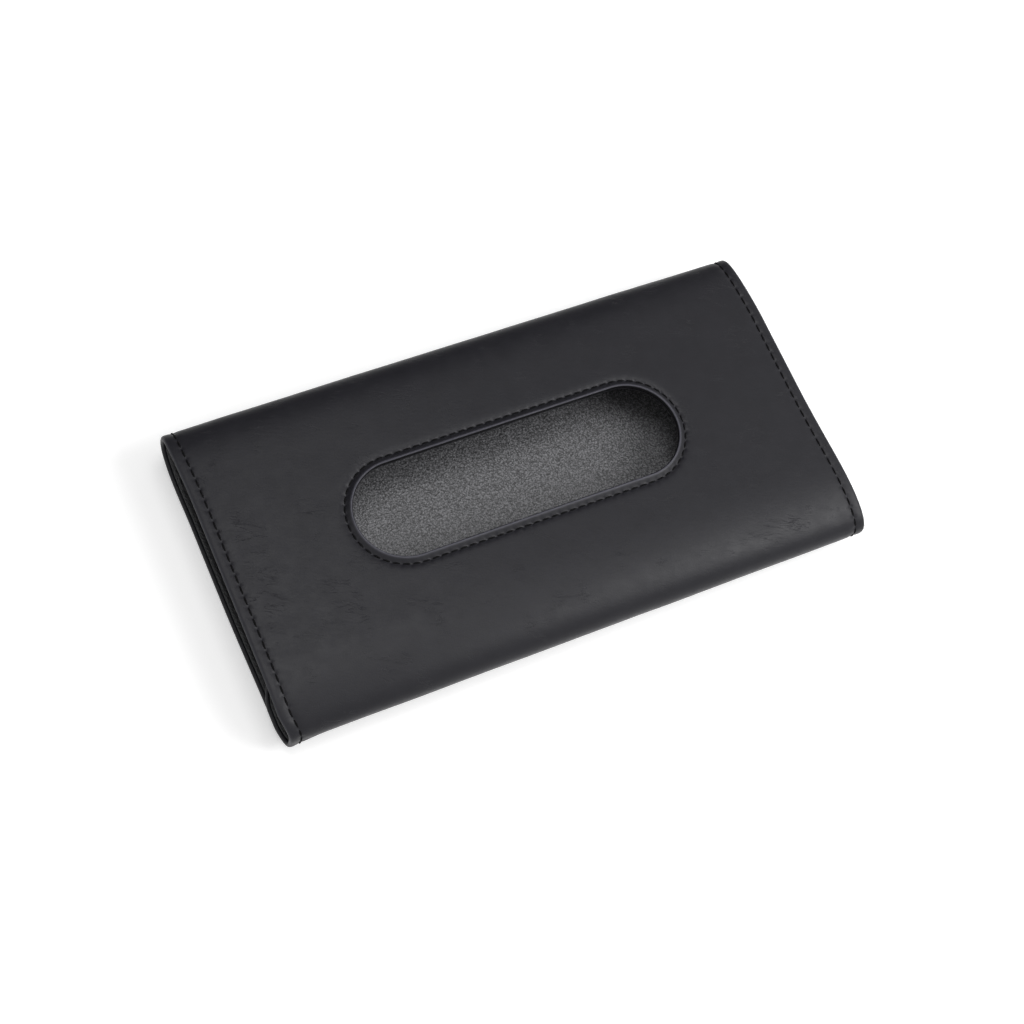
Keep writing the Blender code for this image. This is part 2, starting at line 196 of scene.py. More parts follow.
class Section:
    """The holder's outer line, smoothed a little and read by its length from the hinge line."""

    def __init__(self, points):
        length = np.append(0, np.cumsum(np.hypot(*np.diff(points, axis=0).T)))
        even = np.linspace(0, length[-1], round(length[-1] / SECTION_STEP) + 1)
        line = np.column_stack([np.interp(even, length, axis) for axis in points.T])
        line = self.smoothed(line)
        self.s = np.append(0, np.cumsum(np.hypot(*np.diff(line, axis=0).T)))
        self.y, self.z = line.T
        self.s -= self.s[np.argmax(self.y)]
        along_y, along_z = np.gradient(self.y, self.s), np.gradient(self.z, self.s)
        size = np.hypot(along_y, along_z)
        self.out_y, self.out_z = along_z / size, -along_y / size
        self.low, self.high = self.s[0], self.s[-1]

    @staticmethod
    def smoothed(line):
        reach = round(SMOOTHING_WIDTHS * SECTION_SMOOTHING / SECTION_STEP)
        weights = bell(np.arange(-reach, reach + 1) * SECTION_STEP, SECTION_SMOOTHING * math.sqrt(2))
        before = line[0] - (line[1] - line[0]) * np.arange(reach, 0, -1)[:, None]
        after = line[-1] + (line[-1] - line[-2]) * np.arange(1, reach + 1)[:, None]
        longer = np.concatenate([before, line, after])
        return np.column_stack([np.convolve(axis, weights / weights.sum(), "valid") for axis in longer.T])

    def read(self, values, s):
        return np.interp(s, self.s, values)

    def cover_s(self, y):
        """The s of a y on the top of the cover."""
        top = (self.s > 0) & (self.z > HINGE.z)
        return float(np.interp(-y, -self.y[top], self.s[top]))

    def back_s(self, y):
        """The s of a y on the back."""
        under = self.s < 0
        return float(np.interp(y, self.y[under], self.s[under]))


SECTION = Section(section_points())
COVER_SEAM = SECTION.cover_s(COVER_SEAM_Y)
BACK_SEAM = SECTION.back_s(BACK_SEAM_Y)
SLOT_S = SECTION.cover_s(SLOT_Y)

# how the soft skins have settled: the near left and far right corners are drawn in, the others out
CORNER_DRAW = 1.8 * MM
BACK_DRAW = 0.9 * MM
FAR_LEFT_OUT = 0.8 * MM
FAR_RIGHT_IN = 1.3 * MM
NEAR_RIGHT_OUT = 1.7 * MM
DRAWN_FADE = 60 * MM
NEAR_TURN, NEAR_TURN_END = 10 * MM, 2 * MM
LIP_DRAW = 4.5 * MM
FAR_TURN = 30 * MM
PINCH, PINCH_FADE, PINCH_Z, PINCH_HEIGHT = 4.2 * MM, 16 * MM, 4 * MM, 4.5 * MM


def settled(x, y, s):
    """The x of soft layers, whose ends aren't quite straight; the lip narrows towards its free edge."""
    lip = smooth_step(s, SECTION.high - LIP_DEPTH + LIP_CORNER, SECTION.high)
    x = x * (1 - LIP_DRAW / HALF * lip)
    left, right = smooth_step(-x, HALF - DRAWN_FADE, HALF), smooth_step(x, HALF - DRAWN_FADE, HALF)
    corner = smooth_step(-y, -COVER_LOW.y - NEAR_TURN, -COVER_LOW.y + NEAR_TURN_END)
    near_side, far_side = smooth_step(-y, 0, -COVER_LOW.y), smooth_step(y, FAR_TURN, COVER_HIGH.y)
    drawn_in = np.where(s > 0, CORNER_DRAW * corner, BACK_DRAW * near_side)
    out = NEAR_RIGHT_OUT * near_side - FAR_RIGHT_IN * far_side
    return x + left * (drawn_in - FAR_LEFT_OUT * far_side) + right * out


def pinched(x, z, out_y):
    """How far the near fold's lower half is pressed out at its left end."""
    left = smooth_step(-x, HALF - PINCH_FADE, HALF)
    return PINCH * left * bell(z - PINCH_Z, PINCH_HEIGHT) * np.clip(-out_y, 0, 1)


def lay(points):
    """Folds flat points (x, s, n) round the section."""
    x, s, n = np.asarray(points, float).T
    y, z = SECTION.read(SECTION.y, s), SECTION.read(SECTION.z, s)
    out_y, out_z = SECTION.read(SECTION.out_y, s), SECTION.read(SECTION.out_z, s)
    rise = np.clip((z - HINGE.z) / (TOP_Z - HINGE.z), 0, 1)
    crown = FRONT_CROWN * rise * (1 - (x / HALF) ** 2)
    return np.column_stack([settled(x, y, s), y + n * out_y - pinched(x, z, out_y), z + n * out_z + crown])


def edge_depth(x, s):
    """How far inside the blank's cut edge a flat point lies."""
    middle, reach = (SECTION.high + SECTION.low) / 2, (SECTION.high - SECTION.low) / 2
    radius = np.where(s > middle, LIP_CORNER, FREE_CORNER)
    across, along = np.abs(x) - HALF + radius, np.abs(s - middle) - reach + radius
    outside = np.hypot(np.maximum(across, 0), np.maximum(along, 0))
    return radius - outside - np.minimum(np.maximum(across, along), 0)


def arc(x, s, radius, quarter, steps):
    turns = np.linspace(quarter, quarter + 1, steps + 1) * math.pi / 2
    return np.column_stack([x + radius * np.cos(turns), s + radius * np.sin(turns)])


def steps_between(start, stop, step):
    """The points from start up to, but not with, stop."""
    start, stop = np.array(start), np.array(stop)
    count = max(1, round(np.linalg.norm(stop - start) / step))
    return start + (stop - start) * np.linspace(0, 1, count, endpoint=False)[:, None]


# fineness of the meshes
FINE, FINE_ALONG, COARSE, COARSE_ALONG = 0.36 * MM, 0.5 * MM, 1.6 * MM, 1.2 * MM
FOAM_STEP, FOAM_STEP_ALONG = 2.4 * MM, 1.2 * MM
CORNER_STEPS, EDGE_STEPS, THIN_EDGE_STEPS = 12, 8, 4
SAME_PLACE, SLIVER, SAME_POINT = 1e-8, 1e-11, 0.002 * MM
SHARP_ANGLE = math.radians(50)

# painted highlights along the leather's turned edges and on the slot's rim, painted shade just inside the
# slot's edge, and the lining's painted shade towards its hems
EDGE_HIGHLIGHT, EDGE_HIGHLIGHT_LINE, EDGE_HIGHLIGHT_WIDTH = 0.5, 0.3 * MM, 0.32 * MM
RIM_HIGHLIGHT_LINE, RIM_HIGHLIGHT_WIDTH = 0.65 * MM, 0.36 * MM
RIM_SHADE, RIM_SHADE_LOW, RIM_SHADE_HIGH = 0.4, 0.1 * MM, 0.4 * MM
HEM_SHADE_BAND = 9 * MM


def side_shares(length, across):
    """Shares of a side's length for its points, closer together where a side across lies in the hems."""
    if not across:
        return spread(0, 1, FINE_ALONG / length)[1:-1]
    hem = HEM_BAND / length
    ends = spread(0, hem, FINE / length)
    middle = spread(hem, 1 - hem, 2 * FINE_ALONG / length)[1:-1]
    return np.concatenate([ends[1:], middle, 1 - ends[:0:-1]])


class Panel:
    """A flat piece across the holder between two places along s, whose ends there are seams or cut edges."""

    def __init__(self, low, high, low_radius=None, high_radius=None, half=HALF):
        self.low, self.high, self.half = low, high, half
        self.low_radius, self.high_radius = low_radius, high_radius

    def corners(self, inset):
        """The four corners in turn: each one's place, its way into the piece, radius and first quarter."""
        low = self.low + (inset if self.low_radius else 0)
        high = self.high - (inset if self.high_radius else 0)
        half = self.half - inset
        return (
            (half, low, 1, self.low_radius, 3), (half, high, -1, self.high_radius, 0),
            (-half, high, -1, self.high_radius, 1), (-half, low, 1, self.low_radius, 2),
        )

    def loop(self, inset):
        corners = []
        for x, s, toward, radius, quarter in self.corners(inset):
            size = max((radius or 0) - inset, 0)
            turned = arc(x - math.copysign(size, x), s + toward * size, size, quarter, CORNER_STEPS)
            corners.append(turned if radius else np.array([[x, s]]))
        sides = (self.high - self.low, 2 * self.half) * 2
        runs = []
        for i, (corner, after) in enumerate(zip(corners, corners[1:] + corners[:1])):
            shares = side_shares(sides[i], across=i % 2 == 1)[:, None]
            runs += [corner, corner[-1] + (after[0] - corner[-1]) * shares]
        return np.concatenate(runs)

    def inside(self, points, margin, at_seams=None):
        """Which points lie inside the piece: a margin from its cut edges and another from its seams."""
        x, s = points.T
        at_seams = margin if at_seams is None else at_seams
        low = self.low + (margin if self.low_radius else at_seams)
        high = self.high - (margin if self.high_radius else at_seams)
        from_blank = margin + HALF - self.half
        return (s > low) & (s < high) & (self.half - np.abs(x) > margin) & (edge_depth(x, s) > from_blank)


class Stadium:
    """A hole with round ends, and loops round it at any distance."""

    def __init__(self, x, s, straight, radius, step):
        self.x, self.s, self.straight, self.radius, self.step = x, s, straight, radius, step

    def loop(self, inset):
        radius = self.radius + inset
        steps = max(3, round(math.pi / 2 * (self.radius + RING_BAND / 2) / self.step))
        right, left = self.x + self.straight, self.x - self.straight
        runs = [arc(right, self.s, radius, quarter, steps)[:-1] for quarter in (-1, 0)]
        runs.append(steps_between((right, self.s + radius), (left, self.s + radius), self.step))
        runs += [arc(left, self.s, radius, quarter, steps)[:-1] for quarter in (1, 2)]
        runs.append(steps_between((left, self.s - radius), (right, self.s - radius), self.step))
        return np.concatenate(runs)

    def distance(self, x, s):
        return np.hypot(np.maximum(np.abs(x - self.x) - self.straight, 0), s - self.s) - self.radius


SLOT_STEP, SLIT_STEP = 0.42 * MM, 1 * MM
SLOT = Stadium(SLOT_X, SLOT_S, SLOT_STRAIGHT, SLOT_RADIUS, SLOT_STEP)


def slit(x, s):
    radius = STRAP / 2 + SEAT_GAP
    return Stadium(x, s, (STRAP_WIDTH - STRAP) / 2, radius, SLIT_STEP)


def strap_turns():
    """The s of each slit and which way the strap's tail turns from it."""
    return ((SECTION.back_s(STRAP_FOLD_Y), -1), (SECTION.low + STRAP_EDGE_INSET, 1))


SLITS = [slit(x, s) for x in (-STRAP_X, STRAP_X) for s, _ in strap_turns()]


def even_points(loop, pitch):
    """Evenly spaced points on a closed loop, about a pitch apart."""
    closed = np.concatenate([loop, loop[:1]])
    length = np.append(0, np.cumsum(np.hypot(*np.diff(closed, axis=0).T)))
    places = np.linspace(0, length[-1], round(length[-1] / pitch), endpoint=False)
    return np.column_stack([np.interp(places, length, axis) for axis in closed.T])


def tree_of(points):
    tree = kdtree.KDTree(len(points))
    for i, (x, s) in enumerate(points):
        tree.insert((x, s, 0), i)
    tree.balance()
    return tree


def tail_box(x, s, turn):
    """The corners of the stitched box that holds a strap's tail."""
    near, far = s + turn * TAIL_BOX_NEAR, s + turn * (STRAP_TAIL - TAIL_BOX_FAR)
    half = STRAP_WIDTH / 2 - TAIL_BOX_SIDE
    return np.array([(x - half, near), (x + half, near), (x + half, far), (x - half, far)])


BLANK = Panel(SECTION.low, SECTION.high, FREE_CORNER, LIP_CORNER)
HEM_HOLES = even_points(BLANK.loop(HEM), HEM_PITCH)
RING_HOLES = even_points(SLOT.loop(RING), RING_PITCH)
TAIL_HOLES = [
    even_points(tail_box(x, s, turn), TAIL_PITCH) for x in (-STRAP_X, STRAP_X) for s, turn in strap_turns()
]
HOLE_TREE = tree_of(np.concatenate([HEM_HOLES, RING_HOLES, *TAIL_HOLES]))


def hole_distance(x, s, near):
    """The distance to the nearest needle hole, for the points that are near a seam."""
    found = np.full(len(x), float(FAR_AWAY))
    for i in np.nonzero(near)[0]:
        found[i] = HOLE_TREE.find((x[i], s[i], 0))[2]
    return found


# relief of the leather's outer face
HEM_DIP = 0.3 * MM
RING_DIP = 0.5 * MM
TAIL_DIP = 0.12 * MM
DIP_WIDTH = 1.1 * MM
WELT_RISE = 0.75 * MM
HOLE_DIP = 0.25 * MM
HOLE_WIDTH = 0.42 * MM
DIP_POWER = 1.2
WELT_STRAIGHT = 0.6
PULL, PULL_ALONG, PULL_ACROSS = 0.14 * MM, 0.7 * MM, 1.3 * MM
SEAM_REACH = 4 * MM
HEM_PILLOW = 0.06 * MM
EDGE_PLAIN = 0.2 * MM
LINING_DIP, LINING_HOLE_DIP = 0.8, 0.6
SOFTNESS = ((0.09 * MM, 26 * MM), (0.03 * MM, 8 * MM), (0.01 * MM, 3.4 * MM))


def seam_dip(across, depth):
    """A sewn groove: steep beside the thread and fading out from it."""
    return -depth * np.exp(-(np.abs(across) / DIP_WIDTH) ** DIP_POWER)


def hole_relief(across, hole):
    """The needle's holes, and the slight pull of the thread beside them."""
    along = np.sqrt(np.maximum(hole ** 2 - across ** 2, 0))
    pull = PULL * bell(along, PULL_ALONG) * bell(across, PULL_ACROSS)
    return -pull - HOLE_DIP * bell(hole, HOLE_WIDTH)


def welt(outside):
    """The slot's welt, which rises from its seam to the slot's rim."""
    t = np.clip((RING - outside) / (RING - SLOT_BEAD), 0, 1)
    ramp = WELT_STRAIGHT * t + (1 - WELT_STRAIGHT) * smooth_step(t, 0, 1)
    rising = (RING_DIP + WELT_RISE) * ramp - RING_DIP
    return np.where(outside < RING, rising, seam_dip(outside - RING, RING_DIP))


def softness(x, s):
    """Low uneven swells of the skin."""
    total = np.zeros(len(x))
    for height, width in SOFTNESS:
        total += [height * noise.noise((a / width, b / width, width / MM)) for a, b in zip(x, s)]
    return total


def tail_distance(x, s):
    """The distance to the nearest stitched box of a strap's tail."""
    nearest = np.full(len(x), float(FAR_AWAY))
    for corners in (tail_box(a, b, turn) for a in (-STRAP_X, STRAP_X) for b, turn in strap_turns()):
        (low_x, low_s), (high_x, high_s) = corners.min(0), corners.max(0)
        across, along = np.abs(x - (low_x + high_x) / 2), np.abs(s - (low_s + high_s) / 2)
        across, along = across - (high_x - low_x) / 2, along - (high_s - low_s) / 2
        beyond = np.hypot(np.maximum(across, 0), np.maximum(along, 0))
        nearest = np.minimum(nearest, np.abs(beyond + np.minimum(np.maximum(across, along), 0)))
    return nearest


def relief(x, s):
    depth, outside, tail = edge_depth(x, s), SLOT.distance(x, s), tail_distance(x, s)
    nearest = np.minimum(np.minimum(np.abs(depth - HEM), np.abs(outside - RING)), tail)
    near = nearest < SEAM_REACH
    holes = np.where(near, hole_relief(nearest, hole_distance(x, s, near)), 0)
    height = seam_dip(depth - HEM, HEM_DIP) + welt(outside) + seam_dip(tail, TAIL_DIP) + holes
    height += HEM_PILLOW * np.sin(math.pi * np.clip(depth / HEM, 0, 1))
    hems = smooth_step(depth, EDGE_PLAIN, HEM_THICKNESS)
    return height * hems + softness(x, s) * hems * smooth_step(outside, 0, RING)


def leather_under(x, s):
    """The leather's inner side, thicker where it is turned round an edge."""
    turned = 1 - smooth_step(edge_depth(x, s), TURNED_LOW, TURNED_HIGH)
    bead = 1 - smooth_step(SLOT.distance(x, s), SLOT_BEAD, SLOT_BEAD_FADE)
    return -LEATHER - (HEM_THICKNESS - LEATHER) * turned - (2 * SLOT_BEAD - LEATHER) * bead


def lining_outer(x, s):
    """The lining's side towards the boards, which stop short of the ends but reach the free edges."""
    hem = 1 - smooth_step(HALF - np.abs(x), HEM, END_HEM)
    return LINING_OUTER + (LINING_AT_HEM - LINING_OUTER) * hem


def lining_inner(x, s):
    across = edge_depth(x, s) - HEM
    near = np.abs(across) < SEAM_REACH
    holes = np.where(near, hole_relief(across, hole_distance(x, s, near)), 0)
    dip = LINING_DIP * seam_dip(across, HEM_DIP) + LINING_HOLE_DIP * holes
    return lining_outer(x, s) - LINING - dip


class Sheet:
    """A closed body that is gathered as flat points and faces, and folded at the end."""

    def __init__(self):
        self.points, self.faces, self.count = [], [], 0

    def add(self, flat, n):
        self.points.append(np.column_stack([flat, np.broadcast_to(n, len(flat))]))
        self.count += len(flat)
        return np.arange(self.count - len(flat), self.count)

    def bridge(self, rows):
        for low, high in zip(rows, rows[1:]):
            self.faces += np.column_stack([low, np.roll(low, -1), np.roll(high, -1), high]).tolist()

    def fill(self, loops, inner, n):
        """Triangles through the inner points between closed loops: the outermost one and then the holes."""
        indices = np.concatenate([*loops, self.add(inner, n)])
        flat = np.concatenate(self.points)[indices, :2]
        owner = np.repeat(np.arange(len(loops) + 1), [*map(len, loops), len(inner)])
        edges, first = [], 0
        for loop in loops:
            ring = np.arange(first, first + len(loop))
            edges += np.column_stack([ring, np.roll(ring, -1)]).tolist()
            first += len(loop)
        found = delaunay_2d_cdt([Vector(p) for p in flat], edges, [], 0, SAME_PLACE)
        origin = np.array([ids[0] for ids in found[3]])
        faces = origin[np.array(found[2])]
        a, b, c = (flat[column] for column in faces.T)
        size = np.abs((b - a)[:, 0] * (c - a)[:, 1] - (b - a)[:, 1] * (c - a)[:, 0])
        owners = owner[faces]
        in_hole = (owners == owners[:, :1]).all(axis=1) & (owners[:, 0] > 0) & (owners[:, 0] < len(loops))
        self.faces += indices[faces[~in_hole & (size > SLIVER)]].tolist()

    def folded(self, name, look):
        flat = np.concatenate(self.points)
        return finished(name, lay(flat), self.faces, look, flat)


def finished(name, points, faces, look, flat):
    """Makes a closed, smooth piece, faces outward, with the values that its material reads."""
    mesh = bpy.data.meshes.new(name)
    mesh.from_pydata(np.asarray(points).tolist(), [], faces)
    mesh.attributes.new("flat", "FLOAT_VECTOR", "POINT").data.foreach_set("vector", np.ravel(flat))
    # the leather's painted highlights, and the painted shade just inside the slot's edge
    mesh.attributes.new("painted_light", "FLOAT", "POINT").data.foreach_set("value", painted_rim_light(*flat.T))
    # the lining's painted shade towards its hems
    mesh.attributes.new("painted_hem_shade", "FLOAT", "POINT").data.foreach_set("value", hem_shade_amount(*flat.T[:2]))
    bm = bmesh.new()
    bm.from_mesh(mesh)
    bmesh.ops.delete(bm, geom=[v for v in bm.verts if not v.link_faces], context="VERTS")
    bmesh.ops.remove_doubles(bm, verts=bm.verts, dist=SAME_POINT)
    bmesh.ops.recalc_face_normals(bm, faces=bm.faces)
    if bm.calc_volume(signed=True) < 0:
        bmesh.ops.reverse_faces(bm, faces=bm.faces)
    bm.to_mesh(mesh)
    bm.free()
    mesh.shade_smooth()
    mesh.set_sharp_from_angle(angle=SHARP_ANGLE)
    mesh.materials.append(look)
    return placed(name, mesh)


def placed(name, data):
    """Adds an object to the scene."""
    made = bpy.data.objects.new(name, data)
    bpy.context.scene.collection.objects.link(made)
    return made


def painted_rim_light(x, s, n):
    """How much painted highlight a place gets, along the turned edges and on the slot's rim; below 0 just
    inside the slot's edge, where it is painted shade.
    """
    around = SLOT.distance(x, s)
    # painted highlight lines along the turned edges and on the slot's rim, on the outer face only
    painted_edge_light = EDGE_HIGHLIGHT * bell(edge_depth(x, s) - EDGE_HIGHLIGHT_LINE, EDGE_HIGHLIGHT_WIDTH)
    painted_edge_light = np.maximum(painted_edge_light, bell(around - RIM_HIGHLIGHT_LINE, RIM_HIGHLIGHT_WIDTH))
    # painted shade just inside the slot's edge
    dark = RIM_SHADE * (1 - smooth_step(around, RIM_SHADE_LOW, RIM_SHADE_HIGH))
    return painted_edge_light * smooth_step(n, -LEATHER, 0) - dark


def hem_shade_amount(x, s):
    """How much painted shade the lining gets towards its hems."""
    return 1 - smooth_step(edge_depth(x, s), LINING_INSET, HEM_SHADE_BAND)


def half_round(radius, steps):
    """Insets and shares of the thickness round an edge, from its outer side to its inner one."""
    turns = np.linspace(0, math.pi, steps + 1)
    return [(radius * (1 - math.sin(t)), (1 - math.cos(t)) / 2) for t in turns]


def rim(sheet, shape, profile, top, under):
    """The loops of an edge, from the outer face round to the inner one."""
    high, low = top(*shape.loop(profile[0][0]).T), under(*shape.loop(profile[-1][0]).T)
    rows = [sheet.add(shape.loop(inset), high + (low - high) * share) for inset, share in profile]
    sheet.bridge(rows)
    return rows


def fine_points(panel, holes):
    """Inner points of a face: close together along the hems and round the slot, wider elsewhere."""
    band = HALF - HEM_BAND
    groups = [grid(spread(-band, band, COARSE), spread(panel.low, panel.high, COARSE_ALONG))]
    for side in (-1, 1):
        columns = side * spread(band + FINE, HALF, FINE)
        groups.append(grid(columns, spread(panel.low, panel.high, FINE_ALONG)))
    for end, inward, radius in ((panel.low, 1, panel.low_radius), (panel.high, -1, panel.high_radius)):
        if radius:
            ends = sorted((end, end + inward * HEM_BAND))
            groups.append(grid(spread(-band, band, 2 * FINE_ALONG), spread(*ends, 2 * FINE)))
    points = np.concatenate(groups)
    points = points[panel.inside(points, HEM_THICKNESS / 2 + FINE / 2, FINE / 2)]
    for hole in holes:
        if hole is SLOT:
            points = points[hole.distance(*points.T) > RING_BAND]
            offsets = spread(SLOT_BEAD + FINE, RING_BAND - FINE, FINE)
            points = np.concatenate([points, *[hole.loop(offset) for offset in offsets]])
        else:
            points = points[hole.distance(*points.T) > COARSE / 2]
    return points


def wide_points(panel, holes):
    """Inner points of a face that is hardly seen."""
    points = grid(spread(-HALF, HALF, 2 * COARSE), spread(panel.low, panel.high, 2 * COARSE_ALONG))
    points = points[panel.inside(points, HEM_THICKNESS / 2 + FINE_ALONG)]
    for hole in holes:
        points = points[hole.distance(*points.T) > LINING_ROUND_SLOT + COARSE / 2]
    return points


def skin(name, panel, holes, look):
    """A piece of the outer leather."""
    sheet = Sheet()
    rows = [rim(sheet, panel, half_round(HEM_THICKNESS / 2, EDGE_STEPS), relief, leather_under)]
    beads = [SLOT_BEAD if hole is SLOT else SLIT_BEAD for hole in holes]
    for hole, bead in zip(holes, beads):
        rows.append(rim(sheet, hole, half_round(bead, EDGE_STEPS), relief, leather_under))
    inner, wide = fine_points(panel, holes), wide_points(panel, holes)
    sheet.fill([r[0] for r in rows], inner, relief(*inner.T))
    sheet.fill([r[-1] for r in rows], wide, leather_under(*wide.T))
    return sheet.folded(name, look)


def lining(name, panel, look, hole=None):
    """A piece of the lining, whose inner side faces the pocket."""
    sheet, grown = Sheet(), LINING_ROUND_SLOT
    rows = [rim(sheet, panel, half_round(LINING_EDGE, THIN_EDGE_STEPS), lining_outer, lining_inner)]
    holes = [hole] if hole else []
    rows += [rim(sheet, hole, [(grown, 0), (grown, 1)], lining_outer, lining_inner) for hole in holes]
    wide = wide_points(panel, holes)
    sheet.fill([r[0] for r in rows], wide, lining_outer(*wide.T))
    inner = fine_points(panel, [])
    for hole in holes:
        inner = inner[hole.distance(*inner.T) > grown + FINE]
    sheet.fill([r[-1] for r in rows], inner, lining_inner(*inner.T))
    return sheet.folded(name, look)


FOAM_EDGE, FOAM_FALL, FOAM_FALL_WIDTH, FOAM_MARGIN = 0.3 * MM, 0.2 * MM, 3 * MM, 0.9 * MM


def padding(name, low, high, look):
    """A strip of soft foam beside a board, a little fuller in its middle."""
    panel = Panel(low, high, BOARD_CORNER, BOARD_CORNER, HALF - END_HEM)
    sheet = Sheet()

    def fullness(x, s):
        side = np.minimum(panel.half - np.abs(x), np.minimum(s - low, high - s))
        return smooth_step(side, 0, FOAM_FALL_WIDTH)

    def top(x, s):
        return BOARD_TOP - FOAM_FALL * (1 - fullness(x, s))

    def under(x, s):
        return BOARD_UNDER + FOAM_FALL * (1 - fullness(x, s))

    rows = rim(sheet, panel, half_round(FOAM_EDGE, THIN_EDGE_STEPS), top, under)
    inner = grid(spread(-panel.half, panel.half, FOAM_STEP), spread(low, high, FOAM_STEP_ALONG))
    inner = inner[panel.inside(inner, FOAM_MARGIN)]
    sheet.fill([rows[0]], inner, top(*inner.T))
    sheet.fill([rows[-1]], inner, under(*inner.T))
    return sheet.folded(name, look)


def facing(name, look):
    """The strip that lines the slot's edge, undercut below the welt and turned out over the lining."""
    sheet = Sheet()
    rows = [sheet.add(SLOT.loop(grow * MM), n * MM) for grow, n in FACING_LINE]
    sheet.bridge(rows + rows[:1])
    return sheet.folded(name, look)


def tube_faces(first, rings, sides):
    """The side faces and caps of a tube whose rings of points follow each other."""
    faces = []
    for ring in range(rings - 1):
        for k in range(sides):
            a, b = first + ring * sides + k, first + ring * sides + (k + 1) % sides
            faces.append((a, b, b + sides, a + sides))
    last = first + (rings - 1) * sides
    return faces + [list(range(first, first + sides))[::-1], list(range(last, last + sides))]


def stitch(start, stop, surface, side):
    """The points of one stitch, which dives into a needle hole at each end."""
    shares = np.linspace(THREAD_SHORT, 1 - THREAD_SHORT, THREAD_RINGS)
    line = start + (stop - start) * shares[:, None]
    across = np.array([start[1] - stop[1], stop[0] - start[0]]) / max(np.linalg.norm(stop - start), TINY)
    arch = np.sin(math.pi * shares) ** THREAD_ARCH
    n = surface(*line.T) + side * (arch * (THREAD_LIFT + THREAD_SINK) - THREAD_SINK)
    radius = THREAD / 2 * (THREAD_THIN + (1 - THREAD_THIN) * arch)
    turns = np.arange(THREAD_SIDES) / THREAD_SIDES * 2 * math.pi
    ring = [
        np.column_stack([line + across * (radius * math.cos(t))[:, None], n + radius * math.sin(t)])
        for t in turns
    ]
    return np.stack(ring, axis=1).reshape(-1, 3)


def chain(holes):
    return list(zip(holes, np.roll(holes, -1, axis=0)))


def seam(name, stitches, look):
    """All of a seam's stitches that follow one body; each one is (start, stop, surface, side)."""
    points, faces = [], []
    for one in stitches:
        faces += tube_faces(len(points) * THREAD_RINGS * THREAD_SIDES, THREAD_RINGS, THREAD_SIDES)
        points.append(stitch(*one))
    flat = np.concatenate(points)
    return finished(name, lay(flat), faces, look, flat)


def groove(x, s):
    """The leather's face at a seam, without the needle holes."""
    return relief(x, s) + HOLE_DIP * bell(hole_distance(x, s, np.full(len(x), True)), HOLE_WIDTH)


def under_groove(x, s):
    """The lining's face at a seam."""
    return lining_outer(x, s) - LINING + LINING_DIP * HEM_DIP


def flange(x, s):
    """The facing's underside."""
    return np.full(len(x), FACING_UNDER)


def all_stitches():
    """Every stitch of the holder, outside and inside."""
    found = [(a, b, groove, 1) for a, b in chain(HEM_HOLES) + chain(RING_HOLES)]
    found += [(a, b, groove, 1) for holes in TAIL_HOLES for a, b in chain(holes)]
    found += [(a, b, under_groove, -1) for a, b in chain(HEM_HOLES)]
    found += [(a, b, flange, -1) for a, b in chain(even_points(SLOT.loop(RING_UNDER), RING_PITCH))]
    return found


def strap_line():
    """The strap's middle line, from one tail through its slit, over the back, to the other tail."""
    outside, inside = SEAT_GAP + STRAP / 2, BOARD_TOP - STRAP / 2
    line = []
    for (s, turn), way in zip(strap_turns(), (1, -1)):
        bend_s = s + turn * STRAP_BEND
        inner = arc(bend_s, inside + STRAP_BEND, STRAP_BEND, 2 if turn > 0 else 3, STRAP_BEND_STEPS)
        outer = arc(bend_s, outside - STRAP_BEND, STRAP_BEND, 1 if turn > 0 else 0, STRAP_BEND_STEPS)
        inner, outer = (inner[::-1], outer[::-1]) if turn > 0 else (inner, outer)
        tail = steps_between((s + turn * STRAP_TAIL, inside), inner[0], STRAP_STEP)
        line.append(np.concatenate([tail, inner, outer])[::way])
    middle = steps_between(line[0][-1], line[1][0], STRAP_STEP)[1:]
    return np.concatenate([line[0], middle, line[1]])


def strap_section():
    """Points round the strap's section (across, out), with ribs along both faces."""
    half, thick = STRAP_WIDTH / 2, STRAP / 2 - STRAP_RIB
    across = np.linspace(-half + thick, half - thick, STRAP_RIBS * STRAP_RIB_POINTS + 1)
    ribs = STRAP_RIB * np.abs(np.sin(math.pi * STRAP_RIBS * (across + half) / STRAP_WIDTH))
    upper = np.column_stack([across, thick + ribs])
    turns = np.linspace(math.pi / 2, -math.pi / 2, STRAP_EDGE_POINTS)[1:-1]
    edge = np.column_stack([half - thick + thick * np.cos(turns), thick * np.sin(turns)])
    return np.concatenate([upper, edge, -upper, -edge])


def strap(name, x, look):
    line, section = strap_line(), strap_section()
    along = np.gradient(line, axis=0)
    along /= np.linalg.norm(along, axis=1)[:, None]
    out = np.column_stack([-along[:, 1], along[:, 0]])
    if out[len(out) // 2, 1] < 0:
        out = -out
    rings = []
    for point, way in zip(line, out):
        across, up = section.T
        rings.append(np.column_stack([x + across, point[0] + up * way[0], point[1] + up * way[1]]))
    flat = np.concatenate(rings)
    return finished(name, lay(flat), tube_faces(0, len(rings), len(section)), look, flat)


